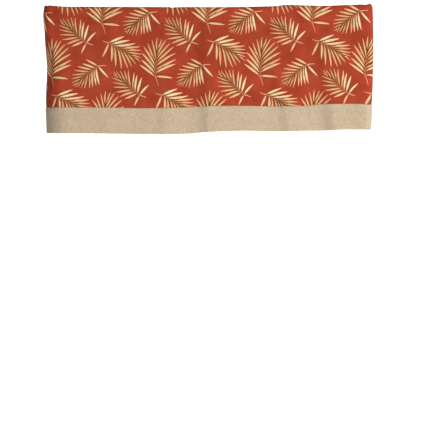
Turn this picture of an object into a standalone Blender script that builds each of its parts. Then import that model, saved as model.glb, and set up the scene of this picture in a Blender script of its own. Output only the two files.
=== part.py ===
"""Window valance: a straight printed panel with two returns, a rod sleeve along its top and a linen band.

Metres, +Z up, +X to the right, the face looks along -Y. The origin is the middle of the top edge,
where the rod holds the cloth. Every piece is one closed solid, lofted along a path that runs from the
left return's back end round the face to the right return's back end. The printed cloth is parted at the
sleeve's stitch line, so that the heading above it, which holds the empty sleeve, has solids of its own.
"""

import math
from collections import namedtuple

import bmesh
import bpy

# Driving sizes
HALF_WIDTH = 0.532
WALL_Y = 0.083
DROP = 0.405
CLOTH = 0.0018
GAP = 0.0003

# The rod sleeve: its inside half depth, how far down its stitch line lies, and how its back turns in there
SLEEVE_HALF_DEPTH = 0.005
SLEEVE_HEIGHT = 0.050
SLEEVE_TURN_TOP = 0.007
SLEEVE_TURN_MIDDLE = 0.0025
SLEEVE_HEM = 0.008
STITCH_GROOVE = 0.0010
CREST_STEPS = 5

# The heading is in three parts, which meet at this share of each side's path, just before its corner
JOIN = 0.425
JOIN_GAP = 0.0016

# The linen band: its lap over the panel's foot, and its thickness there and where it is doubled
SEAM_LAP = 0.012
BAND_LAP_THICKNESS = 0.0013
BAND_THICKNESS = 0.0026
EDGE_ROUND = 0.0007

# Worked out from the driving sizes
CREST_RADIUS = SLEEVE_HALF_DEPTH + CLOTH
FACE_Y = -CREST_RADIUS

# Columns of the loft: the face lies between the side starts, and each side runs round its corner to the wall
SIDE_START = 0.42
SIDE_COLUMNS = 28
CALM_STEP = 0.021
FOLD_STEP = 0.009
MAIN_FOLD = 0.005

# Outline of the cloth, read along the cloth from the middle of the face
Edge = namedtuple("Edge", "along z")
TOP_EDGE = [
    Edge(-0.612, -0.0020), Edge(-0.552, 0.0040), Edge(-0.537, 0.0098), Edge(-0.523, 0.0077),
    Edge(-0.512, 0.0090), Edge(-0.497, 0.0074), Edge(-0.478, 0.0062), Edge(-0.452, 0.0046),
    Edge(-0.375, 0.0037), Edge(-0.250, 0.0021), Edge(-0.089, 0.0007), Edge(0.000, 0.0000),
    Edge(0.087, -0.0006), Edge(0.203, 0.0016), Edge(0.232, 0.0036), Edge(0.261, 0.0052),
    Edge(0.290, 0.0042), Edge(0.319, 0.0030), Edge(0.377, 0.0014), Edge(0.435, 0.0030),
    Edge(0.493, 0.0046), Edge(0.511, 0.0038), Edge(0.528, 0.0078), Edge(0.545, 0.0044),
    Edge(0.612, 0.0010),
]
BAND_TOP = [
    Edge(-0.612, -0.3160), Edge(-0.514, -0.3176), Edge(-0.352, -0.3194), Edge(-0.256, -0.3216),
    Edge(-0.190, -0.3228), Edge(-0.110, -0.3218), Edge(-0.030, -0.3192), Edge(0.035, -0.3172),
    Edge(0.130, -0.3178), Edge(0.197, -0.3199), Edge(0.290, -0.3196), Edge(0.325, -0.3184),
    Edge(0.355, -0.3146), Edge(0.407, -0.3137), Edge(0.495, -0.3144), Edge(0.518, -0.3168),
    Edge(0.612, -0.3160),
]
HEM_EDGE = [
    Edge(-0.612, -0.4000), Edge(-0.522, -0.4018), Edge(-0.435, -0.4026), Edge(-0.371, -0.4034),
    Edge(-0.273, -0.4056), Edge(-0.176, -0.4072), Edge(-0.078, -0.4068), Edge(-0.014, -0.4024),
    Edge(0.050, -0.3998), Edge(0.116, -0.3986), Edge(0.181, -0.4006), Edge(0.246, -0.4010),
    Edge(0.311, -0.4002), Edge(0.376, -0.3996), Edge(0.427, -0.3972), Edge(0.518, -0.3975),
    Edge(0.612, -0.3970),
]

# How far each side stands out past HALF_WIDTH, and how round its corner hangs, by height from the hem up
Side = namedtuple("Side", "z left_out right_out left_radius right_radius")
SIDES = [
    Side(-0.410, 0.0076, -0.0093, 0.080, 0.020),
    Side(-0.360, 0.0079, -0.0053, 0.077, 0.020),
    Side(-0.320, 0.0080, -0.0035, 0.073, 0.020),
    Side(-0.280, 0.0072, -0.0015, 0.068, 0.020),
    Side(-0.240, 0.0038, 0.0005, 0.062, 0.021),
    Side(-0.190, -0.0009, 0.0010, 0.052, 0.021),
    Side(-0.150, -0.0007, 0.0023, 0.043, 0.021),
    Side(-0.110, 0.0001, 0.0032, 0.033, 0.022),
    Side(-0.070, 0.0002, 0.0027, 0.025, 0.022),
    Side(-0.045, 0.0014, 0.0023, 0.022, 0.022),
    Side(-0.020, 0.0008, 0.0014, 0.022, 0.022),
    Side(0.010, -0.0010, -0.0007, 0.022, 0.022),
]

# Soft folds of the face: ridges with a steep left flank and a gentle right one, grown over this height
FOLD_RISE = 0.150
Fold = namedtuple("Fold", "hem_x rod_x steep gentle out")
FOLDS = [
    Fold(-0.300, -0.330, 0.045, 0.050, 0.0022),
    Fold(-0.200, -0.235, 0.030, 0.040, 0.0020),
    Fold(-0.140, -0.158, 0.026, 0.050, 0.0052),
    Fold(0.001, -0.010, 0.022, 0.150, 0.0095),
    Fold(0.268, 0.165, 0.022, 0.060, 0.0085),
    Fold(0.412, 0.350, 0.032, 0.085, 0.0130),
    Fold(0.512, 0.512, 0.046, 0.022, 0.0085),
]

# Small gathers that stand out where the sleeve is pushed together against the rod's corners
Gather = namedtuple("Gather", "along width out")
GATHERS = [
    Gather(-0.536, 0.007, 0.0020),
    Gather(-0.508, 0.008, 0.0022),
    Gather(-0.485, 0.010, 0.0014),
    Gather(-0.455, 0.011, 0.0010),
    Gather(0.468, 0.011, 0.0010),
    Gather(0.494, 0.009, 0.0018),
    Gather(0.528, 0.008, 0.0024),
]
GATHER_TOP = 0.006
GATHER_REACH = 0.075

# Heights of the panel's rows, as shares of the way from the band up to the sleeve's hem
PANEL_ROWS = (0.17, 0.36, 0.56, 0.78)
BAND_ROWS = (0.34, 0.70)

# Colours of the two cloths
RED = (0.40, 0.06, 0.03, 1.0)
FLAX = (0.60, 0.46, 0.32, 1.0)
ROUGHNESS = 0.9
SHARP_DEG = 40.0

# One column of the loft, on side -1, 0 or 1. Its place is x on the face, or a share of the way round a side
Column = namedtuple("Column", "side place")


def eased(share):
    """A smooth step from 0 to 1."""
    share = min(max(share, 0.0), 1.0)
    return share * share * (3.0 - 2.0 * share)


def read(rows, at, value):
    """A table's named value on a smooth curve through its rows, which rise by their first column."""
    if at <= rows[0][0]:
        return getattr(rows[0], value)
    if at >= rows[-1][0]:
        return getattr(rows[-1], value)
    after = next(i for i, row in enumerate(rows) if row[0] > at)
    span = [rows[max(after - 2, 0)], rows[after - 1], rows[after], rows[min(after + 1, len(rows) - 1)]]
    places = [row[0] for row in span]
    values = [getattr(row, value) for row in span]
    width = places[2] - places[1]
    share = (at - places[1]) / width
    slope_in = (values[2] - values[0]) / (places[2] - places[0]) * width
    slope_out = (values[3] - values[1]) / (places[3] - places[1]) * width
    rest = 1.0 - share
    return (
        values[1] * (1 + 2 * share) * rest**2 + slope_in * share * rest**2
        + values[2] * (3 - 2 * share) * share**2 - slope_out * rest * share**2
    )


def side_lengths(side, z):
    """The straight, the corner and the return of one side's path at this height."""
    radius = read(SIDES, z, "left_radius" if side < 0 else "right_radius")
    run = HALF_WIDTH - radius - SIDE_START
    arc = radius * math.pi / 2
    back = WALL_Y - FACE_Y - radius
    return radius, run, arc, back


def path(column, z):
    """Plan place of the calm outer face, its outward direction, and the distance along the cloth."""
    if column.side == 0:
        return column.place, FACE_Y, 0.0, -1.0, column.place
    radius, run, arc, back = side_lengths(column.side, z)
    gone = column.place * (run + arc + back)
    if gone <= run:
        x, y, turn = SIDE_START + gone, FACE_Y, 0.0
    elif gone <= run + arc:
        turn = (gone - run) / radius
        x = HALF_WIDTH - radius + radius * math.sin(turn)
        y = FACE_Y + radius - radius * math.cos(turn)
    else:
        x, y, turn = HALF_WIDTH, FACE_Y + radius + gone - run - arc, math.pi / 2
    side = column.side
    return side * x, y, side * math.sin(turn), -math.cos(turn), side * (SIDE_START + gone)


def fold_depth(along, z):
    """How far the folds carry the face out from its calm plane, growing from the stitch line to the hem."""
    growth = eased((-z - SLEEVE_HEIGHT) / FOLD_RISE)
    total = 0.0
    for fold in FOLDS:
        ridge = fold.rod_x + (fold.hem_x - fold.rod_x) * min(max(-z / DROP, 0.0), 1.0)
        off = along - ridge
        total += fold.out * math.exp(-((off / (fold.steep if off < 0 else fold.gentle)) ** 2))
    return total * growth


def gather_depth(along, z):
    """How far the gathers by the rod's corners stand out, fading below the sleeve."""
    fade = 1.0 - eased((-z - GATHER_TOP) / GATHER_REACH)
    return fade * sum(g.out * math.exp(-(((along - g.along) / g.width) ** 2)) for g in GATHERS)


def place(column, out, z, loose=1.0):
    """The point this far out from the calm outer face. With loose 0 it keeps to the rod, with no fold."""
    x, y, out_x, out_y, along = path(column, z)
    out += loose * (fold_depth(along, z) + gather_depth(along, z))
    weight = eased((abs(x) - SIDE_START) / (HALF_WIDTH - SIDE_START))
    stand = read(SIDES, z, "left_out" if column.side < 0 else "right_out")
    return x + column.side * weight * stand + out_x * out, y + out_y * out, z


def columns():
    """Every column, from the left return's back end to the right one's, closer together on steep flanks."""
    face = [-SIDE_START]
    ridges = [((fold.hem_x + fold.rod_x) / 2, fold.steep) for fold in FOLDS if fold.out > MAIN_FOLD]
    while face[-1] < SIDE_START:
        near = any(-2 * steep < face[-1] - ridge < steep for ridge, steep in ridges)
        face.append(face[-1] + (FOLD_STEP if near else CALM_STEP))
    squeeze = 2 * SIDE_START / (face[-1] - face[0])
    middle = [Column(0, -SIDE_START + (x + SIDE_START) * squeeze) for x in face[1:-1]]
    shares = [i / SIDE_COLUMNS for i in range(SIDE_COLUMNS + 1)]
    left = [Column(-1, share) for share in reversed(shares)]
    right = [Column(1, share) for share in shares]
    return left + middle + right


def heading_columns(part):
    """The columns of the heading's part on side -1, 0 or 1."""
    if part == 0:
        between = [column for column in columns() if column.side == 0 or column.place < JOIN]
        return [Column(-1, JOIN), *between, Column(1, JOIN)]
    back = [column for column in columns() if column.side == part and column.place > JOIN]
    near = Column(part, JOIN + JOIN_GAP)
    return [near, *back] if part > 0 else [*back, near]


def crest(column):
    """Height of the top edge at this column."""
    return read(TOP_EDGE, path(column, 0.0)[4], "z")


def heights(column):
    """The named heights of the cloth at this column."""
    along = path(column, -SLEEVE_HEIGHT)[4]
    top = crest(column)
    stitch = top - SLEEVE_HEIGHT
    band_top = read(BAND_TOP, along, "z")
    return {
        "centre": top - CREST_RADIUS,
        "stitch": stitch,
        "hem_of_sleeve": stitch - SLEEVE_HEM,
        "band_top": band_top,
        "panel_foot": band_top - SEAM_LAP,
        "hem": read(HEM_EDGE, along, "z"),
    }


def turn_over(radius, centre):
    """Rows round the crest, from the face to the back: how far out, how high, and none of the folds."""
    angles = [math.pi * i / CREST_STEPS for i in range(CREST_STEPS + 1)]
    return [(radius * math.cos(a) - CREST_RADIUS, centre + radius * math.sin(a), 0.0) for a in angles]


def panel_section(column):
    """The printed panel, as rows of (out, z, loose): up its face to the stitch line, and down its back."""
    at = heights(column)
    between = [at["band_top"] + share * (at["hem_of_sleeve"] - at["band_top"]) for share in PANEL_ROWS]
    rising = [at["panel_foot"], at["band_top"], *between, at["hem_of_sleeve"], at["stitch"] - GAP / 2]
    dents = [0.0] * (len(rising) - 1) + [STITCH_GROOVE]
    outer = [(-dent, z, 1.0) for z, dent in zip(rising, dents)]
    inner = [(-dent - CLOTH, z, 1.0) for z, dent in zip(rising, dents)]
    return outer + inner[::-1]


def heading_section(column):
    """The rod sleeve: up its face, over the crest, down its back wall, then in behind the panel's top."""
    at = heights(column)
    front = [(-STITCH_GROOVE, at["stitch"] + GAP / 2, 1.0), (0.0, (at["stitch"] + at["centre"]) / 2, 1.0)]
    outside = front + turn_over(CREST_RADIUS, at["centre"])
    inside = [(out - CLOTH, z, loose) for out, z, loose in front]
    inside += turn_over(CREST_RADIUS - CLOTH, at["centre"])
    seat = -CLOTH - GAP
    far = CLOTH - 2 * CREST_RADIUS
    for out, z, loose in (
        (far, at["stitch"] + SLEEVE_TURN_TOP, 0.0),
        ((seat + far) / 2, at["stitch"] + SLEEVE_TURN_MIDDLE, 0.5),
        (seat - STITCH_GROOVE, at["stitch"], 1.0),
        (seat, at["hem_of_sleeve"], 1.0),
    ):
        inside.append((out, z, loose))
        outside.append((out - CLOTH, z, loose))
    return outside + inside[::-1]


def band_section(column):
    """The linen band: lapped over the panel's foot, then doubled down to its hem."""
    at = heights(column)
    middle = [at["panel_foot"] + share * (at["hem"] - at["panel_foot"]) for share in BAND_ROWS]
    face = GAP + BAND_LAP_THICKNESS
    back = face - BAND_THICKNESS
    foot, shoulder = at["hem"] + EDGE_ROUND, at["band_top"] - EDGE_ROUND
    outer = [(face - EDGE_ROUND, at["hem"]), (face, foot)]
    outer += [(face, z) for z in reversed(middle)]
    outer += [(face, at["panel_foot"]), (face, shoulder), (face - EDGE_ROUND, at["band_top"])]
    inner = [(GAP, at["band_top"]), (GAP, at["panel_foot"] - GAP), (back, at["panel_foot"] - 3 * GAP)]
    inner += [(back, z) for z in middle]
    inner += [(back, foot), (back + EDGE_ROUND, at["hem"])]
    return [(out, z, 1.0) for out, z in outer + inner]


def loft(name, section, along, colour):
    """One closed solid from the same section at each of these columns, with a flat cap on both ends."""
    mesh = bpy.data.meshes.new(name)
    solid = bmesh.new()
    rings = []
    for column in along:
        rings.append([solid.verts.new(place(column, out, z, loose)) for out, z, loose in section(column)])
    count = len(rings[0])
    for near, far in zip(rings, rings[1:]):
        for i in range(count):
            j = (i + 1) % count
            solid.faces.new((near[i], near[j], far[j], far[i]))
    solid.faces.new(rings[0][::-1])
    solid.faces.new(rings[-1])
    bmesh.ops.recalc_face_normals(solid, faces=solid.faces)
    bmesh.ops.triangulate(solid, faces=[face for face in solid.faces if len(face.verts) > 4])
    solid.to_mesh(mesh)
    solid.free()
    mesh.shade_smooth()
    mesh.set_sharp_from_angle(angle=math.radians(SHARP_DEG))
    piece = bpy.data.objects.new(name, mesh)
    piece.data.materials.append(cloth_material(name, colour))
    bpy.context.scene.collection.objects.link(piece)
    return piece


def cloth_material(name, colour):
    """A plain matt cloth in one colour."""
    material = bpy.data.materials.new(name)
    material.use_nodes = True
    shader = material.node_tree.nodes["Principled BSDF"]
    shader.inputs["Base Color"].default_value = colour
    shader.inputs["Roughness"].default_value = ROUGHNESS
    shader.inputs["Metallic"].default_value = 0.0
    return material


def main():
    for old in list(bpy.data.objects):
        bpy.data.objects.remove(old)
    loft("printed_panel", panel_section, columns(), RED)
    for name, part in (("heading_left", -1), ("heading_face", 0), ("heading_right", 1)):
        loft(name, heading_section, heading_columns(part), RED)
    loft("contrast_band", band_section, columns(), FLAX)


main()
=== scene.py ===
"""Looks of the window valance: a printed cloth with its rod sleeve, and a doubled linen band at its foot."""

import math
import random
from collections import namedtuple

import bmesh
import bpy
from mathutils import Matrix, Vector, noise
from mathutils.geometry import delaunay_2d_cdt


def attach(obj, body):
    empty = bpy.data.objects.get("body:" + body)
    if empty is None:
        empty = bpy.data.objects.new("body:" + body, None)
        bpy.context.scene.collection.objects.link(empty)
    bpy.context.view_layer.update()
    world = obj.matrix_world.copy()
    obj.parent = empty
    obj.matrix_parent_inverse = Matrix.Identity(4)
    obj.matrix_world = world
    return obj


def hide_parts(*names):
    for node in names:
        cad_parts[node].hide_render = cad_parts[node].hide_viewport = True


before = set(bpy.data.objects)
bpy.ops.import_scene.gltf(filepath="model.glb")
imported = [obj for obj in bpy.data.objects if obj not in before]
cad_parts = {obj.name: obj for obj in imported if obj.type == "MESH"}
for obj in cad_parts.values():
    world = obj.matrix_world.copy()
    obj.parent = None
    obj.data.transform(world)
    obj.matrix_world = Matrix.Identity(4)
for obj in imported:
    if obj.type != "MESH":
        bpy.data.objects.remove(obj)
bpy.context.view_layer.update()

# Driving sizes, those of the solids
HALF_WIDTH = 0.532
WALL_Y = 0.083
DROP = 0.405
SLEEVE_HEIGHT = 0.050
SLEEVE_HEM = 0.008
SLEEVE_TURN = 0.009
CREST_RADIUS = 0.0068
FACE_Y = -CREST_RADIUS
SEAM_LAP = 0.012
SIDE_START = 0.42
SIDE_LENGTH = 0.1924
END = SIDE_START + SIDE_LENGTH

# Real thickness of the cloths
PRINT_THICK = 0.0010
LINEN_THICK = 0.0009
LINEN_OUT = 0.0016
LINEN_BACK = -0.0010

# Outline of the cloth, read along the cloth from the middle of the face
Edge = namedtuple("Edge", "along z")
TOP_EDGE = [
    Edge(-0.612, -0.0020), Edge(-0.552, 0.0040), Edge(-0.537, 0.0098), Edge(-0.523, 0.0077),
    Edge(-0.512, 0.0090), Edge(-0.497, 0.0074), Edge(-0.478, 0.0062), Edge(-0.452, 0.0046),
    Edge(-0.375, 0.0037), Edge(-0.250, 0.0021), Edge(-0.089, 0.0007), Edge(0.000, 0.0000),
    Edge(0.087, -0.0006), Edge(0.203, 0.0016), Edge(0.232, 0.0036), Edge(0.261, 0.0052),
    Edge(0.290, 0.0042), Edge(0.319, 0.0030), Edge(0.377, 0.0014), Edge(0.435, 0.0030),
    Edge(0.493, 0.0046), Edge(0.511, 0.0038), Edge(0.528, 0.0078), Edge(0.545, 0.0044),
    Edge(0.612, 0.0010),
]
BAND_TOP = [
    Edge(-0.612, -0.3160), Edge(-0.514, -0.3176), Edge(-0.352, -0.3194), Edge(-0.256, -0.3216),
    Edge(-0.190, -0.3228), Edge(-0.110, -0.3218), Edge(-0.030, -0.3192), Edge(0.035, -0.3172),
    Edge(0.130, -0.3178), Edge(0.197, -0.3199), Edge(0.290, -0.3196), Edge(0.325, -0.3184),
    Edge(0.355, -0.3146), Edge(0.407, -0.3137), Edge(0.495, -0.3144), Edge(0.518, -0.3168),
    Edge(0.612, -0.3160),
]
HEM_EDGE = [
    Edge(-0.612, -0.4000), Edge(-0.522, -0.4018), Edge(-0.435, -0.4026), Edge(-0.371, -0.4034),
    Edge(-0.273, -0.4056), Edge(-0.176, -0.4072), Edge(-0.078, -0.4068), Edge(-0.014, -0.4024),
    Edge(0.050, -0.3998), Edge(0.116, -0.3986), Edge(0.181, -0.4006), Edge(0.246, -0.4010),
    Edge(0.311, -0.4002), Edge(0.376, -0.3996), Edge(0.427, -0.3972), Edge(0.518, -0.3975),
    Edge(0.612, -0.3970),
]
Side = namedtuple("Side", "z left_out right_out left_radius right_radius")
SIDES = [
    Side(-0.410, 0.0076, -0.0093, 0.080, 0.020),
    Side(-0.360, 0.0079, -0.0053, 0.077, 0.020),
    Side(-0.320, 0.0080, -0.0035, 0.073, 0.020),
    Side(-0.280, 0.0072, -0.0015, 0.068, 0.020),
    Side(-0.240, 0.0038, 0.0005, 0.062, 0.021),
    Side(-0.190, -0.0009, 0.0010, 0.052, 0.021),
    Side(-0.150, -0.0007, 0.0023, 0.043, 0.021),
    Side(-0.110, 0.0001, 0.0032, 0.033, 0.022),
    Side(-0.070, 0.0002, 0.0027, 0.025, 0.022),
    Side(-0.045, 0.0014, 0.0023, 0.022, 0.022),
    Side(-0.020, 0.0008, 0.0014, 0.022, 0.022),
    Side(0.010, -0.0010, -0.0007, 0.022, 0.022),
]

# Main folds: ridges with a steep left flank and a gentle right one, which grow over this height
FOLD_RISE = 0.150
Fold = namedtuple("Fold", "hem_x rod_x steep gentle out")
FOLDS = [
    Fold(-0.300, -0.330, 0.045, 0.050, 0.0022),
    Fold(-0.200, -0.235, 0.030, 0.040, 0.0020),
    Fold(-0.140, -0.158, 0.026, 0.050, 0.0052),
    Fold(0.001, -0.010, 0.022, 0.150, 0.0095),
    Fold(0.268, 0.165, 0.022, 0.060, 0.0085),
    Fold(0.412, 0.350, 0.032, 0.085, 0.0130),
    Fold(0.512, 0.512, 0.046, 0.022, 0.0085),
]

# Gathers by the rod's corners, the small puckers among them too. A gather that goes in has a negative out
Gather = namedtuple("Gather", "along width out reach")
GATHERS = [
    Gather(-0.575, 0.006, 0.0008, 0.040), Gather(-0.553, 0.005, -0.0007, 0.050),
    Gather(-0.536, 0.007, 0.0020, 0.075), Gather(-0.522, 0.004, -0.0008, 0.050),
    Gather(-0.508, 0.008, 0.0022, 0.075), Gather(-0.497, 0.004, -0.0006, 0.035),
    Gather(-0.485, 0.010, 0.0014, 0.075), Gather(-0.470, 0.004, -0.0005, 0.035),
    Gather(-0.455, 0.011, 0.0010, 0.075), Gather(-0.432, 0.006, 0.0005, 0.030),
    Gather(0.447, 0.006, 0.0004, 0.030), Gather(0.468, 0.011, 0.0010, 0.075),
    Gather(0.481, 0.004, -0.0006, 0.040), Gather(0.494, 0.009, 0.0018, 0.075),
    Gather(0.511, 0.005, -0.0007, 0.045), Gather(0.528, 0.008, 0.0024, 0.075),
    Gather(0.548, 0.005, -0.0007, 0.050), Gather(0.570, 0.006, 0.0008, 0.040),
]
GATHER_TOP = 0.006

# Slack of the cloth: broad soft waves, by wavelength across, wavelength down, and height
SLACK_ACROSS = 0.070
SLACK_DOWN = 0.230
SLACK_OUT = 0.0011
SLACK_RISE = 0.12
SLACK_LEAN = 0.12
RIPPLE_ACROSS = 0.024
RIPPLE_DOWN = 0.050
CREST_RIPPLE = 0.0004
STITCH_DENT = 0.0009
STITCH_DENT_WIDTH = 0.0022
SEAM_DENT = 0.0014
SEAM_DENT_WIDTH = 0.0030
HEM_EXTRA = 0.0009
SIDE_HEM = 0.014

# Grid of the printed cloth
GRID = 0.0068
GRID_CORNER = 0.0034
CORNER_FROM = 0.440
CORNER_TO = 0.585
GROOVE = (-0.0045, -0.0020, 0.0, 0.0020, 0.0045)
PANEL_ROWS = 40
HEADING_ROWS = 7
CREST_ROWS = 8
BACK_ROWS = 5
SLEEVE_HEM_ROWS = 3
HEM_STEP = 0.001

# The print's half-drop repeat, one of its lattice points on the face, and the heights between which it shows
REPEAT = 0.338
LATTICE_X = 0.1650
LATTICE_Z = -0.2212
PRINT_LOW = -0.345
PRINT_HIGH = 0.075

# The palm fronds of one repeat, each grown from its junction. Lengths are in metres and angles in degrees.
# "tip" is the length of the leaflet at the rachis's end, and "brown" how brown the frond's heart is.
Frond = namedtuple("Frond", "name x z heading bend rachis tip tip_turn stem stem_heading wide brown gold")
FRONDS = [
    Frond("upright", 0.0, 0.0, 87, -6, 0.079, 0.048, 8, 0.034, 288, 0.0090, 0.15, 0.90),
    Frond("upper_left", 0.1175, 0.1085, 140, -6, 0.076, 0.040, 2, 0.023, 342, 0.0078, 0.85, 0.30),
    Frond("rightward", 0.1904, 0.1092, -27, -7, 0.069, 0.052, 0, 0.021, 165, 0.0090, 0.45, 0.60),
    Frond("lower_left", 0.1540, 0.0343, 213, 5, 0.071, 0.036, 0, 0.025, 5, 0.0076, 0.80, 0.25),
]

# The leaflets on a frond's two sides: side 1 is to the left of its heading. They leave the rachis from its
# foot to "reach" of its length. "back" is the angle of the first, which stands apart, "open" that of the
# second and "close" that of the last. "start", "peak" and "end" are lengths from the second to the last.
Row = namedtuple("Row", "frond side count reach back open close back_long start peak end cream")
ROWS = [
    Row("upright", 1, 6, 0.63, 56, 49, 19, 0.061, 0.063, 0.075, 0.070, 0.50),
    Row("upright", -1, 8, 0.95, 93, 64, 13, 0.058, 0.070, 0.079, 0.050, 0.40),
    Row("upper_left", 1, 8, 0.90, 103, 63, 12, 0.039, 0.045, 0.056, 0.041, 0.30),
    Row("upper_left", -1, 8, 0.88, 94, 64, 10, 0.046, 0.054, 0.058, 0.041, 0.95),
    Row("rightward", 1, 7, 0.86, 48, 38, 12, 0.056, 0.058, 0.074, 0.056, 0.90),
    Row("rightward", -1, 7, 0.88, 88, 63, 16, 0.050, 0.056, 0.072, 0.052, 0.20),
    Row("lower_left", 1, 9, 0.90, 97, 67, 14, 0.050, 0.056, 0.055, 0.038, 0.95),
    Row("lower_left", -1, 7, 0.88, 63, 52, 12, 0.047, 0.046, 0.052, 0.038, 0.40),
]
PEAK_AT = 0.35
ANGLE_EASE = 1.35
FIRST_WIDE = 0.92
NARROWING = 0.30
PALE_FADE = 1.6
ANGLE_DRAW = 2.0
LENGTH_DRAW = 0.04
TONE_DRAW = 0.05
ARCH_DRAW = (0.01, 0.06)
GOLD_DRAW = (0.35, 1.0)

# The leaflet at a rachis's end: its root there, how late it is drawn, and its width and arch
TIP_ROOT = 0.97
TIP_ORDER = 1.1
TIP_WIDE = 0.7
TIP_ARCH = 0.03

# How a blade narrows: a stem's taper, and the two powers of a leaflet's rounded outline
STEM_TAPER = 0.45
BLADE_LEAN = 0.95
BLADE_FULL = 0.85
LEAF_STEPS = (0.0, 0.10, 0.26, 0.44, 0.62, 0.80, 0.93, 1.0)
SHADOW_STEPS = (0.0, 0.25, 0.50, 0.75, 1.0)
STEM_STEPS = (0.0, 0.35, 0.70, 1.0)
SHADOW_SHIFT = 0.0013
SHADOW_SHARE = 0.90
SHADOW_WIDE = 1.20
SHADOW_BROWN_WIDE = 0.3
RACHIS_WIDE = 0.0016
RACHIS_TONE = 0.2
STEM_WIDE = 0.0026
STEM_ARCH = 0.04
BLADE_END = 0.00012
PRINT_SEED = 11

# Stitching: pitch, length, thread, how high a stitch rises, and its rings by their share of its length
STITCH_PITCH = 0.0034
STITCH_LONG = 0.0026
STITCH_RADIUS = 0.00028
STITCH_LIFT = 0.00018
STITCH_SIDES = 5
STITCH_RINGS = ((0.0, 0.35), (0.18, 1.0), (0.82, 1.0), (1.0, 0.35))
STITCH_MARGIN = 0.004
BAND_STITCH_DROP = 0.0022
RED_THREAD = (0.33, 0.05, 0.03)
FLAX_THREAD = (0.56, 0.44, 0.30)

# The linen band's grid
LINEN_COLUMN = 0.0030
LINEN_ROWS = 26
LINEN_INNER_ROWS = 8

# The linen's section: its top edge as (out, below the top), its lap's inside, its back edge and its fold
BAND_EDGE = ((0.0005, 0.0002), (0.0010, 0.0), (0.0015, 0.0006), (0.0016, 0.0020), (0.0016, 0.0050))
LAP_IN = 0.0003
LAP_RISE = 0.0012
LAP_EDGE_DROP = 0.0010
BACK_EDGE_DROP = 0.0006
FOLD_INSIDE = 0.0004
INSIDE_ANGLES = (2.2, 1.0)

# Its unevenness: broad waves and fine pulled threads, each by its size across, its size down and its height
LINEN_WAVE = (0.045, 0.060, 0.0005)
LINEN_PULL = (0.012, 0.030, 0.00022)

# Camera and light
CAMERA_PLACE = (0.0124, -2.945, -0.4256)
CAMERA_TILT = 4.7
CAMERA_ROLL = 0.0074
LENS = 75.9
SENSOR = 36.0
FLOOR_Z = -2.05
FLOOR_HALF = 14.0
BACKDROP_Y = 5.0
BACKDROP_HEIGHT = 9.0
SWEEP = 2.0
SWEEP_STEPS = 12
SKY = 0.40
SKY_TOP = 0.10
SKY_TOP_FROM = 0.9

# Soft boxes: the place, what it looks at, the side in metres and the power in watts
Light = namedtuple("Light", "name place aim size power")
LIGHTS = [
    Light("key", (3.5, -3.3, -0.5), (0.0, 0.0, -0.25), 1.4, 170.0),
    Light("fill", (-0.5, -1.3, -1.3), (0.0, 0.0, -0.3), 1.2, 9.5),
    Light("backdrop_light", (0.0, 1.8, 1.6), (0.0, 4.6, -1.3), 2.5, 170.0),
]


def new_piece(name, data):
    """An object of this mesh, light or camera, in the scene."""
    piece = bpy.data.objects.new(name, data)
    bpy.context.scene.collection.objects.link(piece)
    return piece


def eased(share):
    """A smooth step from 0 to 1."""
    share = min(max(share, 0.0), 1.0)
    return share * share * (3.0 - 2.0 * share)


def read(rows, at, value):
    """A table's named value on a smooth curve through its rows, which rise by their first column."""
    if at <= rows[0][0]:
        return getattr(rows[0], value)
    if at >= rows[-1][0]:
        return getattr(rows[-1], value)
    after = next(i for i, row in enumerate(rows) if row[0] > at)
    span = [rows[max(after - 2, 0)], rows[after - 1], rows[after], rows[min(after + 1, len(rows) - 1)]]
    places = [row[0] for row in span]
    values = [getattr(row, value) for row in span]
    width = places[2] - places[1]
    share = (at - places[1]) / width
    slope_in = (values[2] - values[0]) / (places[2] - places[0]) * width
    slope_out = (values[3] - values[1]) / (places[3] - places[1]) * width
    rest = 1.0 - share
    return (
        values[1] * (1 + 2 * share) * rest**2 + slope_in * share * rest**2
        + values[2] * (3 - 2 * share) * share**2 - slope_out * rest * share**2
    )


def side_lengths(along, z):
    """The corner's radius on this side at height z, and the lengths of the side's run, arc and return."""
    radius = read(SIDES, z, "left_radius" if along < 0 else "right_radius")
    return radius, HALF_WIDTH - radius - SIDE_START, radius * math.pi / 2, WALL_Y - FACE_Y - radius


def print_along(along, z):
    """The true length of cloth from the middle of the face to this place along it."""
    if abs(along) <= SIDE_START:
        return along
    _, run, arc, back = side_lengths(along, z)
    return math.copysign(SIDE_START + (abs(along) - SIDE_START) / SIDE_LENGTH * (run + arc + back), along)


def cloth_along(length, z):
    """The place along the cloth that lies this true length from the middle of the face."""
    if abs(length) <= SIDE_START:
        return length
    _, run, arc, back = side_lengths(length, z)
    return math.copysign(SIDE_START + (abs(length) - SIDE_START) * SIDE_LENGTH / (run + arc + back), length)


def path(along, z):
    """Plan place of the calm outer face and its outward direction, this far along the cloth."""
    if abs(along) <= SIDE_START:
        return along, FACE_Y, 0.0, -1.0
    side = math.copysign(1.0, along)
    radius, run, arc, _ = side_lengths(along, z)
    gone = abs(print_along(along, z)) - SIDE_START
    if gone <= run:
        x, y, turn = SIDE_START + gone, FACE_Y, 0.0
    elif gone <= run + arc:
        turn = (gone - run) / radius
        x = HALF_WIDTH - radius + radius * math.sin(turn)
        y = FACE_Y + radius - radius * math.cos(turn)
    else:
        x, y, turn = HALF_WIDTH, FACE_Y + radius + gone - run - arc, math.pi / 2
    return side * x, y, side * math.sin(turn), -math.cos(turn)


def fold_depth(along, z):
    """How far the main folds carry the face out, growing from the stitch line to the hem."""
    growth = eased((-z - SLEEVE_HEIGHT) / FOLD_RISE)
    total = 0.0
    for fold in FOLDS:
        ridge = fold.rod_x + (fold.hem_x - fold.rod_x) * min(max(-z / DROP, 0.0), 1.0)
        off = along - ridge
        total += fold.out * math.exp(-((off / (fold.steep if off < 0 else fold.gentle)) ** 2))
    return total * growth


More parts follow.
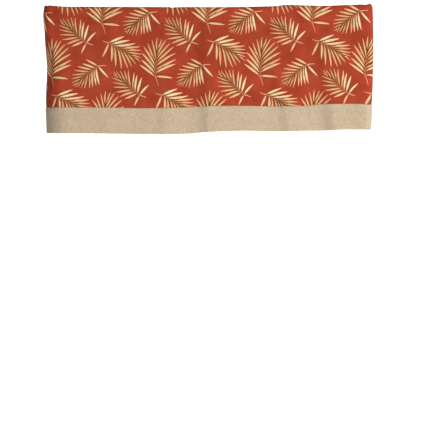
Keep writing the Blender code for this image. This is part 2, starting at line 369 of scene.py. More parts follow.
def gather_depth(along, z):
    """How far the gathers by the rod's corners stand out, fading below the sleeve."""
    total = 0.0
    for gather in GATHERS:
        off = (along - gather.along) / gather.width
        if abs(off) < 3.0:
            fade = 1.0 - eased((-z - GATHER_TOP) / gather.reach)
            total += fade * gather.out * math.exp(-off * off)
    return total


def slack_depth(along, z):
    """Broad soft waves of the cloth between its folds, and slight ones along the rod."""
    growth = eased((-z - SLEEVE_HEIGHT) / SLACK_RISE)
    lean = along + SLACK_LEAN * z
    broad = noise.noise(Vector((lean / SLACK_ACROSS, z / SLACK_DOWN, 3.7)))
    small = noise.noise(Vector((along / RIPPLE_ACROSS, z / RIPPLE_DOWN, 9.1)))
    return SLACK_OUT * growth * broad + CREST_RIPPLE * small


def place(along, out, z, loose=1.0):
    """The point this far out from the calm outer face. With loose 0 it keeps to the rod, with no fold."""
    x, y, out_x, out_y = path(along, z)
    if loose:
        real = print_along(along, z)
        out += loose * (fold_depth(real, z) + gather_depth(real, z) + slack_depth(real, z))
    weight = eased((abs(x) - SIDE_START) / (HALF_WIDTH - SIDE_START))
    stand = read(SIDES, z, "left_out" if along < 0 else "right_out")
    side = math.copysign(1.0, along)
    return Vector((x + side * weight * stand + out_x * out, y + out_y * out, z))


class Heights:
    """The named heights of the cloth this far along it."""

    def __init__(self, along):
        top = read(TOP_EDGE, along, "z") + CREST_RIPPLE * noise.noise(Vector((along / 0.018, 0.0, 5.3)))
        self.centre = top - CREST_RADIUS
        self.stitch = top - SLEEVE_HEIGHT
        self.middle = (self.stitch + self.centre) / 2
        self.band_top = read(BAND_TOP, along, "z")
        self.panel_foot = self.band_top - SEAM_LAP
        self.hem = read(HEM_EDGE, along, "z")
        self.crest_end = self.centre + math.pi * CREST_RADIUS
        self.back_turn = self.crest_end + SLEEVE_HEIGHT - CREST_RADIUS - SLEEVE_TURN
        self.back_stitch = self.back_turn + SLEEVE_TURN
        self.back_end = self.back_stitch + SLEEVE_HEM


def printed_point(along, up, depth, at):
    """The point of the printed cloth at this flat place, this deep below its printed side.

    "up" is the height on the face. Past the crest it runs on down the sleeve's back, and in to its hem.
    """
    if up <= at.centre:
        dent = STITCH_DENT * math.exp(-(((up - at.stitch) / STITCH_DENT_WIDTH) ** 2))
        dent += SEAM_DENT * math.exp(-(((up - at.band_top) / SEAM_DENT_WIDTH) ** 2))
        loose = 1.0 - eased((up - at.middle) / (at.centre - at.middle))
        return place(along, -depth - dent, up, loose)
    if up <= at.crest_end:
        turn = (up - at.centre) / CREST_RADIUS
        radius = CREST_RADIUS - depth
        return place(along, radius * math.cos(turn) - CREST_RADIUS, at.centre + radius * math.sin(turn), 0.0)
    z = at.centre - (up - at.crest_end)
    turned = eased((up - at.back_turn) / SLEEVE_TURN)
    far = -2 * CREST_RADIUS
    seat = -2 * PRINT_THICK - 0.0002
    dent = STITCH_DENT * math.exp(-(((z - at.stitch) / STITCH_DENT_WIDTH) ** 2))
    return place(along, far + (seat - far) * turned + depth - dent, z, turned)


def spaced(first, last, step):
    """Evenly spaced numbers from first to last, no further apart than step."""
    count = max(1, math.ceil((last - first) / step - 1e-6))
    return [first + (last - first) * i / count for i in range(count + 1)]


def print_columns():
    """Places of the grid's columns along the cloth, closer by the rod's corners and the side hems."""
    half = spaced(0.0, CORNER_FROM, GRID) + spaced(CORNER_FROM, CORNER_TO, GRID_CORNER)[1:]
    hem = END - SIDE_HEM
    half += spaced(CORNER_TO, hem - HEM_STEP, GRID)[1:]
    half += [hem, hem + HEM_STEP] + spaced(hem + HEM_STEP, END, GRID)[1:]
    return [-along for along in reversed(half[1:])] + half


def steps(low, high, count):
    """Evenly spaced numbers after low, up to high."""
    return [low + (high - low) * (i + 1) / count for i in range(count)]


def print_rows(at):
    """Flat heights of the grid's rows in one column, from the panel's foot to the sleeve's back end."""
    low, high = at.panel_foot, at.stitch + GROOVE[0]
    rows = [low + (high - low) * i / PANEL_ROWS for i in range(PANEL_ROWS)]
    rows += [at.stitch + off for off in GROOVE]
    rows += steps(rows[-1], at.centre, HEADING_ROWS)[:-1]
    rows += [at.centre + math.pi * CREST_RADIUS * i / CREST_ROWS for i in range(CREST_ROWS + 1)]
    rows += steps(at.crest_end, at.back_turn, BACK_ROWS)
    rows += steps(at.back_turn, at.back_stitch, BACK_ROWS)
    rows += steps(at.back_stitch, at.back_end, SLEEVE_HEM_ROWS)
    return rows


class Blade:
    """One leaflet, or a stem: a slender curved blade with its place in the drawing order and its colours."""

    def __init__(self, root, heading, long, wide, arch, lit, tone, gold, kind):
        self.root = Vector(root)
        self.heading = heading
        self.axis = Vector((math.cos(heading), math.sin(heading)))
        self.across = Vector((-self.axis.y, self.axis.x))
        self.long = long
        self.wide = wide
        self.arch = arch
        self.lit = lit
        self.tone = tone
        self.gold = gold
        self.kind = kind

    def half_width(self, share):
        if self.kind == "stem":
            return self.wide / 2 * (1.0 - STEM_TAPER * share)
        share = min(max(share, 0.0), 1.0)
        return self.wide / 2 * math.sin(math.pi * share**BLADE_LEAN) ** BLADE_FULL + BLADE_END

    def sag(self, share):
        return self.arch * self.long * 4 * share * (1 - share)

    def at(self, share, side):
        across = self.sag(share) + side * self.half_width(share)
        return self.root + self.axis * (share * self.long) + self.across * across

    def outline(self):
        shares = {"shadow": SHADOW_STEPS, "leaf": LEAF_STEPS, "stem": STEM_STEPS}[self.kind]
        left = [self.at(share, 1.0) for share in shares]
        right = [self.at(share, -1.0) for share in shares]
        if self.kind == "leaf":
            return right[:-1] + [self.at(1.0, 0.0)] + left[:-1][::-1]
        return right + left[::-1]

    def local(self, point, origin):
        """Share of the way to the tip, and place across from its shaded edge, -1, to its lit edge, 1."""
        off = Vector(point) - origin - self.root
        share = min(max(off.dot(self.axis) / self.long, 0.0), 1.0)
        across = (off.dot(self.across) - self.sag(share)) / max(self.half_width(share), 0.0004)
        return share, self.lit * min(max(across, -1.0), 1.0)


def spine(frond, share):
    """The point this share of the way along a frond's bent rachis, and the rachis's heading there."""
    turn = math.radians(frond.bend) * share
    heading = math.radians(frond.heading)
    mean = heading + turn / 2
    return Vector((math.cos(mean), math.sin(mean))) * frond.rachis * share, heading + turn


def leaflet_long(row, later):
    """Length of a leaflet after the first: it rises to the row's peak and falls to its end."""
    if later < PEAK_AT:
        return row.start + (row.peak - row.start) * math.sin(math.pi / 2 * later / PEAK_AT)
    fall = (later - PEAK_AT) / (1.0 - PEAK_AT)
    return row.end + (row.peak - row.end) * math.cos(math.pi / 2 * fall)


def leaflet(frond, row, index, draw):
    """One leaflet of a row, with how late it comes on the rachis: -1 for the first, then 0 to 1."""
    later = (index - 1) / (row.count - 2) if index else -1.0
    root, heading = spine(frond, row.reach * index / (row.count - 1))
    if index == 0:
        angle, long, wide, pale = row.back, row.back_long, frond.wide * FIRST_WIDE, row.cream
    else:
        angle = row.open + (row.close - row.open) * later**ANGLE_EASE
        long = leaflet_long(row, later)
        wide = frond.wide * (1.0 - NARROWING * later)
        pale = row.cream * max(0.0, 1.0 - PALE_FADE * later)
    angle += draw.uniform(-ANGLE_DRAW, ANGLE_DRAW)
    tone = 0.5 + 0.5 * pale - 0.5 * frond.brown * max(later, 0.0) ** 0.5 * (1.0 - pale)
    tone += draw.uniform(-TONE_DRAW, TONE_DRAW)
    heading += row.side * math.radians(angle)
    long *= draw.uniform(1.0 - LENGTH_DRAW, 1.0 + LENGTH_DRAW)
    arch = -row.side * draw.uniform(*ARCH_DRAW)
    gold = frond.gold * draw.uniform(*GOLD_DRAW)
    return later, Blade(root, heading, long, wide, arch, row.side, tone, gold, "leaf")


def tip_leaflet(frond):
    """The leaflet at the rachis's end, which lies under all the others."""
    root, heading = spine(frond, TIP_ROOT)
    heading += math.radians(frond.tip_turn)
    tone = 0.5 - 0.4 * frond.brown
    wide = frond.wide * TIP_WIDE
    return TIP_ORDER, Blade(root, heading, frond.tip, wide, TIP_ARCH, 1, tone, frond.gold, "leaf")


def shadow_of(leaf, frond):
    """The dark or brown shading that a leaflet lies on, along its shaded edge."""
    root = leaf.root - leaf.across * leaf.lit * SHADOW_SHIFT
    wide = leaf.wide * (SHADOW_WIDE + SHADOW_BROWN_WIDE * frond.brown)
    long = leaf.long * SHADOW_SHARE
    return Blade(root, leaf.heading, long, wide, leaf.arch, leaf.lit, frond.brown, 0.0, "shadow")


def frond_blades(frond, draw):
    """The blades of one frond from the lowest to the highest: leaflets by its tip lie under the others."""
    rows = [row for row in ROWS if row.frond == frond.name]
    leaves = [leaflet(frond, row, i, draw) for row in rows for i in range(row.count)]
    leaves.append(tip_leaflet(frond))
    leaves.sort(key=lambda pair: -pair[0])
    middle = math.radians(frond.heading + frond.bend / 2)
    blades = [Blade((0, 0), middle, frond.rachis, RACHIS_WIDE, 0.0, 1, RACHIS_TONE, 0.0, "stem")]
    for _, leaf in leaves:
        blades += [shadow_of(leaf, frond), leaf]
    stem = math.radians(frond.stem_heading)
    tone = 0.3 + 0.7 * frond.brown
    blades.append(Blade((0, 0), stem, frond.stem, STEM_WIDE, STEM_ARCH, 1, tone, 0.0, "stem"))
    return blades


def print_layout():
    """Every blade of the print on the cloth, with the place of its frond's junction, in drawing order."""
    draw = random.Random(PRINT_SEED)
    fronds = [(frond, frond_blades(frond, draw)) for frond in FRONDS]
    layout = []
    for row in range(-4, 5):
        for column in range(-4, 5):
            x = LATTICE_X + REPEAT * (column + 0.5 * (row % 2))
            z = LATTICE_Z + REPEAT * 0.5 * row
            for frond, blades in fronds:
                origin = Vector((x + frond.x, z + frond.z))
                layout += [(blade, origin) for blade in blades if reaches(blade, origin)]
    return layout


def reaches(blade, origin):
    """Whether any of the blade lies on the cloth."""
    ends = [origin + blade.at(share, 0.0) for share in (0.0, 0.5, 1.0)]
    return any(abs(end.x) < END + 0.005 and PRINT_LOW < end.y < PRINT_HIGH for end in ends)


def printed_cloth():
    """The printed cloth: its print's outlines are part of the mesh, flush with the ground."""
    columns = print_columns()
    heights = {along: Heights(along) for along in columns}
    rows = [[(along, up) for up in print_rows(heights[along])] for along in columns]
    points = [point for column in rows for point in column]
    tall = len(rows[0])
    last = len(rows) - 1
    border = [i * tall for i in range(len(rows))]
    border += [last * tall + j for j in range(1, tall)]
    border += [i * tall + tall - 1 for i in range(last - 1, -1, -1)]
    border += list(range(tall - 2, 0, -1))
    faces = [border]
    layout = print_layout()
    for blade, origin in layout:
        outline = [origin + point for point in blade.outline()]
        faces.append(list(range(len(points), len(points) + len(outline))))
        points += [(cloth_along(point.x, point.y), point.y) for point in outline]
    coordinates, _, triangles, _, _, sources = delaunay_2d_cdt(
        [Vector(point) for point in points], [], faces, 0, 1e-5, True
    )
    kept = [(tri, max(ids)) for tri, ids in zip(triangles, sources) if 0 in ids]
    return sheet_mesh("valance_cloth", coordinates, kept, layout)


def hem_thickness(along, up, at):
    """Thickness of the cloth, which is doubled at the side hems and at the sleeve's own hem."""
    side = eased((abs(along) - END + SIDE_HEM) / 0.001)
    foot = eased((up - at.back_stitch - 0.001) / 0.001)
    return PRINT_THICK + HEM_EXTRA * max(side, 0.5 * foot)


def sheet_mesh(name, flat, kept, layout):
    """A closed sheet from flat triangles: printed side, reverse, and the rim between them."""
    used = sorted({corner for tri, _ in kept for corner in tri})
    index = {corner: i for i, corner in enumerate(used)}
    count = len(used)
    front, back = [], []
    for corner in used:
        along, up = flat[corner]
        at = Heights(along)
        front.append(printed_point(along, up, 0.0, at))
        back.append(printed_point(along, up, hem_thickness(along, up, at), at))
    faces = [tuple(index[c] for c in tri) for tri, _ in kept]
    edges = {}
    for tri in faces:
        for i in range(3):
            edges[(tri[i], tri[(i + 1) % 3])] = True
    rim = [(a, b) for a, b in edges if (b, a) not in edges]
    mesh = bpy.data.meshes.new(name)
    mesh.from_pydata(
        front + back,
        [],
        faces
        + [(c + count, b + count, a + count) for a, b, c in faces]
        + [(b, a, a + count, b + count) for a, b in rim],
    )
    place_attribute = mesh.attributes.new("flat", "FLOAT_VECTOR", "POINT")
    ends = [(print_along(*flat[corner]), flat[corner][1]) for corner in used]
    values = [v for _ in (0, 1) for end in ends for v in (end[0], end[1], 0.0)]
    place_attribute.data.foreach_set("vector", values)
    blade_values, ink_values = [], []
    for (tri, top), face in zip(kept, faces):
        corners, ink = corner_inks(tri, top, flat, layout)
        blade_values.append(corners)
        ink_values.append(ink)
    blade = mesh.attributes.new("blade", "FLOAT_VECTOR", "CORNER")
    ink = mesh.attributes.new("ink", "FLOAT_VECTOR", "CORNER")
    blade_flat = [v for corners in blade_values for corner in corners for v in corner]
    blade_flat += [v for corners in blade_values for corner in reversed(corners) for v in corner]
    blade_flat += [0.0] * (12 * len(rim))
    ink_flat = [v for one in ink_values for v in one * 3]
    ink_flat += [v for one in ink_values for v in one * 3] + [0.0] * (12 * len(rim))
    blade.data.foreach_set("vector", blade_flat)
    ink.data.foreach_set("vector", ink_flat)
    sides = [0] * len(faces) + [1] * len(faces) + [0] * len(rim)
    mesh.polygons.foreach_set("material_index", sides)
    mesh.shade_smooth()
    mesh.set_sharp_from_angle(angle=math.radians(50))
    mesh.update()
    return new_piece(name, mesh)


KINDS = {"shadow": 0.3, "stem": 0.6, "leaf": 1.0}


def corner_inks(tri, top, flat, layout):
    """For one triangle, each corner's place on its blade, and the ink of the whole: kind, tone and gold."""
    if top == 0:
        return [(0.0, 0.0, 0.0)] * 3, (0.0, 0.5, 0.0)
    blade, origin = layout[top - 1]
    corners = [(*blade.local((print_along(*flat[c]), flat[c][1]), origin), 0.0) for c in tri]
    return corners, (KINDS[blade.kind], blade.tone, blade.gold)


def band_section(at):
    """The doubled linen as one thin folded sheet: pairs of (out, z) round it, from its front's top edge."""
    top, foot, hem = at.band_top, at.panel_foot, at.hem
    fold = (LINEN_OUT - LINEN_BACK) / 2
    centre = LINEN_OUT - fold
    low = hem + fold
    back_top = foot - BACK_EDGE_DROP
    outer = [(out, top - drop) for out, drop in BAND_EDGE]
    outer += [(LINEN_OUT, z) for z in steps(outer[-1][1], low, LINEN_ROWS)]
    outer += [(centre + fold * math.cos(a), low - fold * math.sin(a)) for a in fold_angles()]
    outer += [(LINEN_BACK, z) for z in steps(low, back_top, LINEN_ROWS)]
    back_in, front_in = LINEN_BACK + LINEN_THICK, LINEN_OUT - LINEN_THICK
    inner = [(back_in, back_top)]
    inner += [(back_in, z) for z in steps(back_top, low, LINEN_INNER_ROWS)]
    inner += [(centre + FOLD_INSIDE * math.cos(a), low - FOLD_INSIDE * math.sin(a)) for a in INSIDE_ANGLES]
    inner += [(front_in, low)]
    inner += [(front_in, z) for z in steps(low, foot, LINEN_INNER_ROWS)]
    inner += [(LAP_IN, foot + LAP_RISE), (LAP_IN, top - LAP_EDGE_DROP)]
    return outer + inner


def fold_angles():
    """Angles round the hem's fold, from the front to the back, without its ends."""
    return [math.pi * i / 8 for i in range(1, 8)]


def linen_wave(along, z):
    """Slight unevenness of the linen, which is stiffer than the print."""
    total = 0.0
    for (across, down, height), seed in ((LINEN_WAVE, 1.3), (LINEN_PULL, 6.1)):
        total += height * noise.noise(Vector((along / across, z / down, seed)))
    return total


def linen_band():
    """The linen band as one doubled, folded sheet."""
    columns = spaced(-END, END, LINEN_COLUMN)
    mesh = bpy.data.meshes.new("linen_band")
    solid = bmesh.new()
    flat = solid.verts.layers.float_vector.new("flat")
    rings = []
    for along in columns:
        at = Heights(along)
        ring = []
        gone = 0.0
        before = None
        for out, z in band_section(at):
            vert = solid.verts.new(place(along, out + linen_wave(along, z), z))
            gone += 0.0 if before is None else math.hypot(out - before[0], z - before[1])
            before = (out, z)
            vert[flat] = (along, at.band_top - gone, 0.0)
            ring.append(vert)
        rings.append(ring)
    count = len(rings[0])
    for near, far in zip(rings, rings[1:]):
        for i in range(count):
            j = (i + 1) % count
            solid.faces.new((near[i], near[j], far[j], far[i]))
    caps = [solid.faces.new(rings[0][::-1]), solid.faces.new(rings[-1])]
    bmesh.ops.triangulate(solid, faces=caps)
    bmesh.ops.recalc_face_normals(solid, faces=solid.faces)
    solid.to_mesh(mesh)
    solid.free()
    mesh.shade_smooth()
    mesh.set_sharp_from_angle(angle=math.radians(60))
    return new_piece("linen_band", mesh)


def stitch_row(solid, places, draw):
    """Short raised stitches along a row of places, each a function of the distance along the cloth."""
    along = -END + STITCH_MARGIN
    while along < END - STITCH_MARGIN:
        start, stop = places(along), places(along + STITCH_LONG)
        ahead = (stop[0] - start[0]).normalized()
        normal = start[1]
        across = ahead.cross(normal).normalized()
        rings = []
        for share, size in STITCH_RINGS:
            rise = STITCH_LIFT * math.sin(math.pi * (0.12 + 0.76 * share))
            centre = start[0].lerp(stop[0], share) + normal * rise
            ring = []
            for k in range(STITCH_SIDES):
                angle = math.tau * k / STITCH_SIDES
                side = across * math.cos(angle) + normal * math.sin(angle)
                ring.append(solid.verts.new(centre + side * STITCH_RADIUS * size))
            rings.append(ring)
        for near, far in zip(rings, rings[1:]):
            for k in range(STITCH_SIDES):
                ahead_k = (k + 1) % STITCH_SIDES
                solid.faces.new((near[k], far[k], far[ahead_k], near[ahead_k]))
        solid.faces.new(rings[0])
        solid.faces.new(rings[-1][::-1])
        along += STITCH_PITCH * draw.uniform(0.97, 1.03)


def surface_row(height):
    """A row of places on the printed cloth at a named height, each with its outward normal."""

    def at_place(along):
        at = Heights(along)
        up = height(at)
        point = printed_point(along, up, 0.0, at)
        inside = printed_point(along, up, 0.001, at)
        return point, (point - inside).normalized()

    return at_place


def band_row(drop):
    """A row of places on the linen's front this far below its top edge."""

    def at_place(along):
        z = Heights(along).band_top - drop
        point = place(along, LINEN_OUT + linen_wave(along, z), z)
        outer = place(along, LINEN_OUT + 0.001, z)
        return point, (outer - place(along, LINEN_OUT, z)).normalized()

    return at_place


def stitching(name, rows):
    """One mesh of stitches along these rows."""
    draw = random.Random(len(name))
    solid = bmesh.new()
    for places in rows:
        stitch_row(solid, places, draw)
    bmesh.ops.recalc_face_normals(solid, faces=solid.faces)
    mesh = bpy.data.meshes.new(name)
    solid.to_mesh(mesh)
    solid.free()
    mesh.shade_smooth()
    return new_piece(name, mesh)


class Nodes:
    """A material's node tree, with short calls for its common nodes."""

    def __init__(self, name):
        self.material = bpy.data.materials.new(name)
        self.material.use_nodes = True
        self.tree = self.material.node_tree
        self.shader = self.tree.nodes["Principled BSDF"]

    def add(self, kind, **settings):
        node = self.tree.nodes.new(kind)
        for key, value in settings.items():
            setattr(node, key, value)
        return node

    def link(self, source, target):
        self.tree.links.new(source, target)

    def attribute(self, name):
        return self.add("ShaderNodeAttribute", attribute_name=name).outputs["Vector"]

    def split(self, vector):
        node = self.add("ShaderNodeSeparateXYZ")
        self.link(vector, node.inputs[0])
        return node.outputs

    def math(self, operation, first, second=None, third=None, clamp=False):
        node = self.add("ShaderNodeMath", operation=operation, use_clamp=clamp)
        for socket, value in zip(node.inputs, (first, second, third)):
            if value is None:
                continue
            if isinstance(value, (int, float)):
                socket.default_value = value
            else:
                self.link(value, socket)
        return node.outputs[0]

    def scaled(self, vector, scale):
        node = self.add("ShaderNodeVectorMath", operation="MULTIPLY")
        self.link(vector, node.inputs[0])
        node.inputs[1].default_value = scale
        return node.outputs[0]

    def moved(self, vector, shift):
        node = self.add("ShaderNodeVectorMath", operation="ADD")
        self.link(vector, node.inputs[0])
        node.inputs[1].default_value = shift
        return node.outputs[0]

    def noise(self, vector, scale, detail=2.0, roughness=0.5):
        node = self.add("ShaderNodeTexNoise")
        self.link(self.scaled(vector, scale), node.inputs["Vector"])
        node.inputs["Scale"].default_value = 1.0
        node.inputs["Detail"].default_value = detail
        node.inputs["Roughness"].default_value = roughness
        return node.outputs["Fac"]

    def ramp(self, value, stops):
        node = self.add("ShaderNodeValToRGB")
        self.link(value, node.inputs[0])
        elements = node.color_ramp.elements
        while len(elements) < len(stops):
            elements.new(0.5)
        for element, (position, colour) in zip(elements, stops):
            element.position = position
            element.color = (*colour, 1.0)
        return node.outputs["Color"]

    def range(self, value, low, high, to_low=0.0, to_high=1.0):
        node = self.add("ShaderNodeMapRange", interpolation_type="SMOOTHSTEP")
        self.link(value, node.inputs["Value"])
        for key, number in (("From Min", low), ("From Max", high), ("To Min", to_low), ("To Max", to_high)):
            node.inputs[key].default_value = number
        return node.outputs["Result"]

    def mix(self, share, first, second, blend="MIX"):
        node = self.add("ShaderNodeMix", data_type="RGBA", blend_type=blend)
        factor, _, _, _, _, _, one, two = node.inputs[:8]
        for socket, value in ((factor, share), (one, first), (two, second)):
            if isinstance(value, (int, float)):
                socket.default_value = value
            elif isinstance(value, tuple):
                socket.default_value = (*value, 1.0)
            else:
                self.link(value, socket)
        return node.outputs[2]

    def bump(self, height, strength, distance, normal=None):
        node = self.add("ShaderNodeBump")
        node.inputs["Strength"].default_value = strength
        node.inputs["Distance"].default_value = distance
        self.link(height, node.inputs["Height"])
        if normal is not None:
            self.link(normal, node.inputs["Normal"])
        return node.outputs["Normal"]


# Print colours, linear
GROUND_DEEP = (0.330, 0.041, 0.0170)
GROUND = (0.396, 0.053, 0.0220)
GROUND_LIGHT = (0.465, 0.067, 0.0290)
RUST = (0.350, 0.068, 0.0200)
CRIMSON = (0.455, 0.041, 0.0290)
BROWN = (0.355, 0.122, 0.032)
TAN = (0.780, 0.325, 0.128)
CREAM = (0.990, 0.755, 0.430)
GOLD = (0.550, 0.315, 0.046)
TIP_PINK = (0.690, 0.215, 0.115)
TIP_PEACH = (0.960, 0.540, 0.320)
STEM_PINK = (0.660, 0.150, 0.090)
DARK = (0.095, 0.018, 0.005)
EDGE_RED = (0.235, 0.026, 0.012)
COTTON = (0.720, 0.560, 0.420)


def ground_colour(nodes, flat):
    """The mottled red ground, rusty in some places and crimson in others."""
    cloud = nodes.noise(flat, (16.0, 16.0, 1.0), 4.0, 0.6)
    ground = nodes.ramp(cloud, [(0.32, GROUND_DEEP), (0.50, GROUND), (0.70, GROUND_LIGHT)])
    hue = nodes.noise(nodes.moved(flat, (3.1, 7.7, 0.0)), (24.0, 24.0, 1.0), 3.0, 0.6)
    ground = nodes.mix(nodes.range(hue, 0.28, 0.48, 0.45, 0.0), ground, RUST)
    return nodes.mix(nodes.range(hue, 0.52, 0.72, 0.0, 0.50), ground, CRIMSON)


def leaf_colour(nodes, flat, share, across, tone, gold):
    """A leaflet's colour: cream to brown, golden in its middle, pink at its tip, lit along one edge."""
    streak = nodes.noise(flat, (110.0, 110.0, 1.0), 3.0, 0.65)
    leaf = nodes.ramp(tone, [(0.0, BROWN), (0.50, TAN), (1.0, CREAM)])
    middle = nodes.math("MULTIPLY", nodes.range(share, 0.20, 0.50), nodes.range(share, 0.62, 0.90, 1.0, 0.0))
    golden = nodes.math("MULTIPLY", nodes.math("MULTIPLY", middle, gold), nodes.range(streak, 0.36, 0.60))
    leaf = nodes.mix(nodes.math("MULTIPLY", golden, 0.85), leaf, GOLD)
    tip = nodes.mix(tone, TIP_PINK, TIP_PEACH)
    leaf = nodes.mix(nodes.range(share, 0.58, 0.90, 0.0, 0.70), leaf, tip)
    leaf = nodes.mix(nodes.range(across, -0.1, 0.6, 0.0, 0.70), leaf, nodes.mix(tone, TIP_PEACH, CREAM))
    leaf = nodes.mix(nodes.range(across, -0.95, -0.35, 0.85, 0.0), leaf, DARK)
    return nodes.mix(nodes.range(share, 0.0, 0.25, 0.35, 0.0), leaf, DARK)


def print_colour(nodes, flat):
    """The printed side's colour: ground, dark or brown shading under the leaflets, stems and leaflets."""
    blade = nodes.split(nodes.attribute("blade"))
    ink = nodes.split(nodes.attribute("ink"))
    share, across = blade[0], blade[1]
    kind, tone, gold = ink[0], ink[1], ink[2]
    leaf = leaf_colour(nodes, flat, share, across, tone, gold)
    heart = nodes.mix(nodes.math("MULTIPLY", tone, 0.50), DARK, BROWN)
    shade = nodes.mix(nodes.range(share, 0.45, 0.95), heart, EDGE_RED)
    printed = nodes.mix(nodes.math("GREATER_THAN", kind, 0.15), ground_colour(nodes, flat), shade)
    stem = nodes.mix(tone, STEM_PINK, TIP_PEACH)
    printed = nodes.mix(nodes.math("GREATER_THAN", kind, 0.45), printed, stem)
    return nodes.mix(nodes.math("GREATER_THAN", kind, 0.80), printed, leaf)


def weave_height(nodes, flat, thread, slub):
    """Height of a plain weave: threads over and under each other, thicker and thinner along their length."""
    parts = nodes.split(flat)
    waves = []
    for coordinate in (parts[0], parts[1]):
        turned = nodes.math("MULTIPLY", coordinate, math.tau / thread)
        waves.append(nodes.math("SINE", turned))
    crossing = nodes.math("MULTIPLY", waves[0], waves[1])
    return nodes.math("ADD", crossing, nodes.math("MULTIPLY", slub, 1.5))


def cotton(name, reverse):
    """Printed cotton, its printed side or its paler reverse, through which the print shows."""
    nodes = Nodes(name)
    flat = nodes.attribute("flat")
    colour = print_colour(nodes, flat)
    if reverse:
        colour = nodes.mix(0.58, colour, COTTON)
    slub = nodes.noise(flat, (55.0, 1500.0, 1.0), 2.0, 0.6)
    colour = nodes.mix(1.0, colour, nodes.range(slub, 0.30, 0.75, 0.93, 1.06), "MULTIPLY")
    nodes.link(colour, nodes.shader.inputs["Base Color"])
    weave = weave_height(nodes, flat, 0.0009, slub)
    nodes.link(nodes.bump(weave, 0.25, 0.00012), nodes.shader.inputs["Normal"])
    nodes.shader.inputs["Roughness"].default_value = 0.86
    nodes.shader.inputs["Specular IOR Level"].default_value = 0.08
    nodes.shader.inputs["Sheen Weight"].default_value = 0.05
    nodes.shader.inputs["Sheen Roughness"].default_value = 0.5
    return nodes.material


# Linen colours, linear
FLAX_DEEP = (0.395, 0.280, 0.174)
FLAX = (0.557, 0.418, 0.280)
FLAX_LIGHT = (0.675, 0.545, 0.388)
FLAX_YELLOW = (0.600, 0.480, 0.230)


def linen():
    """Coarse natural linen: uneven threads both ways, with slubs, and a yellow fleck here and there."""
    nodes = Nodes("natural_linen")
    flat = nodes.attribute("flat")
    warp = nodes.noise(flat, (620.0, 34.0, 1.0), 3.0, 0.65)
    weft = nodes.noise(flat, (70.0, 560.0, 1.0), 3.0, 0.65)
    cloud = nodes.noise(flat, (30.0, 42.0, 1.0), 3.0, 0.55)
    threads = nodes.math("MULTIPLY", nodes.math("ADD", warp, weft), 0.5)
    colour = nodes.ramp(threads, [(0.34, FLAX_DEEP), (0.50, FLAX), (0.66, FLAX_LIGHT)])
    colour = nodes.mix(nodes.range(cloud, 0.30, 0.75, 0.0, 0.35), colour, FLAX_LIGHT)
    speck = nodes.noise(nodes.moved(flat, (5.0, 2.0, 0.0)), (330.0, 260.0, 1.0), 2.0, 0.6)
    colour = nodes.mix(1.0, colour, nodes.range(speck, 0.30, 0.70, 0.86, 1.14), "MULTIPLY")
    knot = nodes.noise(flat, (130.0, 300.0, 1.0), 1.0, 0.5)
    colour = nodes.mix(nodes.range(knot, 0.66, 0.78, 0.0, 0.55), colour, FLAX_YELLOW)
    nodes.link(colour, nodes.shader.inputs["Base Color"])
    slub = nodes.math("ADD", nodes.range(warp, 0.45, 0.80), nodes.range(weft, 0.45, 0.80))
    weave = weave_height(nodes, flat, 0.0016, slub)
    nodes.link(nodes.bump(weave, 0.55, 0.00030), nodes.shader.inputs["Normal"])
    nodes.shader.inputs["Roughness"].default_value = 0.92
    nodes.shader.inputs["Specular IOR Level"].default_value = 0.2
    nodes.shader.inputs["Sheen Weight"].default_value = 0.1
    nodes.shader.inputs["Sheen Roughness"].default_value = 0.6
    return nodes.material


def thread(name, colour):
    """Sewing thread, twisted and slightly glossy."""
    nodes = Nodes(name)
    place_in = nodes.add("ShaderNodeNewGeometry").outputs["Position"]
    twist = nodes.noise(place_in, (2600.0, 2600.0, 2600.0), 1.0, 0.5)
    dark = tuple(value * 0.6 for value in colour)
    nodes.link(nodes.mix(nodes.range(twist, 0.35, 0.65), dark, colour), nodes.shader.inputs["Base Color"])
    nodes.shader.inputs["Roughness"].default_value = 0.6
    return nodes.material


def dress(piece, slot, *materials):
    """Gives a piece its materials and has it ride on the root body. The slot argument is not used."""
    for material in materials:
        piece.data.materials.append(material)
    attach(piece, "root")
    return piece


def soft_light(name, place_at, aim, size, power):
    """A square soft box that looks at a point."""
    light = bpy.data.lights.new(name, "AREA")
    light.size = size
    light.energy = power
    holder = new_piece(name, light)
    holder.location = place_at
    holder.rotation_euler = (Vector(aim) - Vector(place_at)).to_track_quat("-Z", "Y").to_euler()


def swept_floor():
    """A pale floor that curves up into a backdrop far behind the piece."""
    profile = [(-FLOOR_HALF, FLOOR_Z)]
    for i in range(SWEEP_STEPS + 1):
        turn = math.pi / 2 * i / SWEEP_STEPS
        profile.append((BACKDROP_Y - SWEEP * (1 - math.sin(turn)), FLOOR_Z + SWEEP * (1 - math.cos(turn))))
    profile.append((BACKDROP_Y, FLOOR_Z + BACKDROP_HEIGHT))
    points = [(side * FLOOR_HALF, y, z) for y, z in profile for side in (-1, 1)]
    faces = [(2 * i, 2 * i + 1, 2 * i + 3, 2 * i + 2) for i in range(len(profile) - 1)]
    mesh = bpy.data.meshes.new("floor")
    mesh.from_pydata(points, [], faces)
    mesh.shade_smooth()
    nodes = Nodes("pale_floor")
    nodes.shader.inputs["Base Color"].default_value = (0.93, 0.93, 0.93, 1.0)
    nodes.shader.inputs["Roughness"].default_value = 0.9
    mesh.materials.append(nodes.material)
    new_piece("floor", mesh)


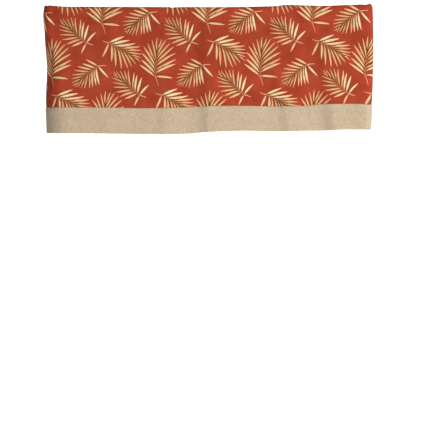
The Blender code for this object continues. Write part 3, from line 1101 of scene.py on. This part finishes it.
def soft_sky():
    """Plain soft light from all round, dimmer from overhead."""
    world = bpy.data.worlds.new("studio")
    world.use_nodes = True
    tree = world.node_tree
    place_in = tree.nodes.new("ShaderNodeTexCoord")
    parts = tree.nodes.new("ShaderNodeSeparateXYZ")
    height = tree.nodes.new("ShaderNodeMapRange")
    for key, number in (("From Min", 0.0), ("From Max", SKY_TOP_FROM), ("To Min", SKY), ("To Max", SKY_TOP)):
        height.inputs[key].default_value = number
    tree.links.new(place_in.outputs["Generated"], parts.inputs[0])
    tree.links.new(parts.outputs["Z"], height.inputs["Value"])
    tree.links.new(height.outputs["Result"], tree.nodes["Background"].inputs["Strength"])
    tree.nodes["Background"].inputs["Color"].default_value = (1.0, 1.0, 1.0, 1.0)
    bpy.context.scene.world = world


def studio():
    """A pale floor and backdrop with its own light, and soft light from the front and the right."""
    swept_floor()
    soft_sky()
    for light in LIGHTS:
        soft_light(*light)
    bpy.context.scene.view_settings.view_transform = "Standard"


def camera():
    """The camera at the photograph's angle, just below the hem and near the piece's middle."""
    lens = bpy.data.cameras.new("camera")
    lens.lens = LENS
    lens.sensor_width = SENSOR
    holder = new_piece("camera", lens)
    look = Matrix.Rotation(math.radians(90.0 - CAMERA_TILT), 4, "X") @ Matrix.Rotation(-CAMERA_ROLL, 4, "Z")
    holder.matrix_world = Matrix.Translation(CAMERA_PLACE) @ look
    bpy.context.scene.camera = holder


def main():
    camera()
    studio()
    printed, reverse = cotton("cotton_face", False), cotton("cotton_reverse", True)
    cloth = dress(printed_cloth(), "printed_cloth", printed, reverse)
    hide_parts("printed_panel", "heading_left", "heading_face", "heading_right")
    band = dress(linen_band(), "linen", linen())
    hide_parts("contrast_band")
    red_rows = [surface_row(lambda at: at.stitch), surface_row(lambda at: at.back_stitch)]
    red = dress(stitching("sleeve_stitches", red_rows), "printed_cloth", thread("red_thread", RED_THREAD))
    flax_rows = [band_row(BAND_STITCH_DROP)]
    flax = dress(stitching("band_stitches", flax_rows), "linen", thread("flax_thread", FLAX_THREAD))


main()
